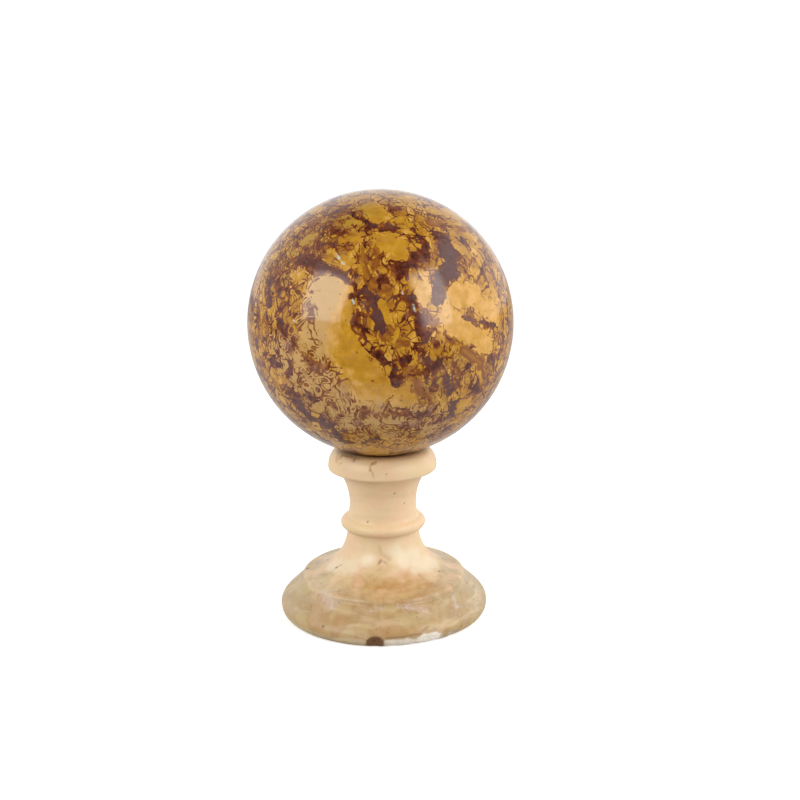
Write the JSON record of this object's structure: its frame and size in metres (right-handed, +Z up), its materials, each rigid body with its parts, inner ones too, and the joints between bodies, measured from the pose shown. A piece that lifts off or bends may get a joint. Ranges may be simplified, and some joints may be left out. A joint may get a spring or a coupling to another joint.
{
  "type": "decorative sphere",
  "caption": "Polished stone sphere resting loose in the shallow cup of a turned marble stand with a beaded stem and a round foot.",
  "frame": {"origin": "middle of the stand's flat underside, on the surface that it stands on", "axes": "+Z up along the turning axis of the stand and through the middle of the sphere, -Y towards the front"},
  "size_m": [0.1, 0.1, 0.1634],
  "materials": {
    "sphere_stone": "polished brecciated jasper, mustard clasts in maroon, glossy",
    "stand_stone": "honed and lightly polished cream marble, khaki and veined in the foot"
  },
  "bodies": {
    "root": {"stone_sphere": "sphere_stone", "turned_stand": "stand_stone"}
  },
  "joints": []
}
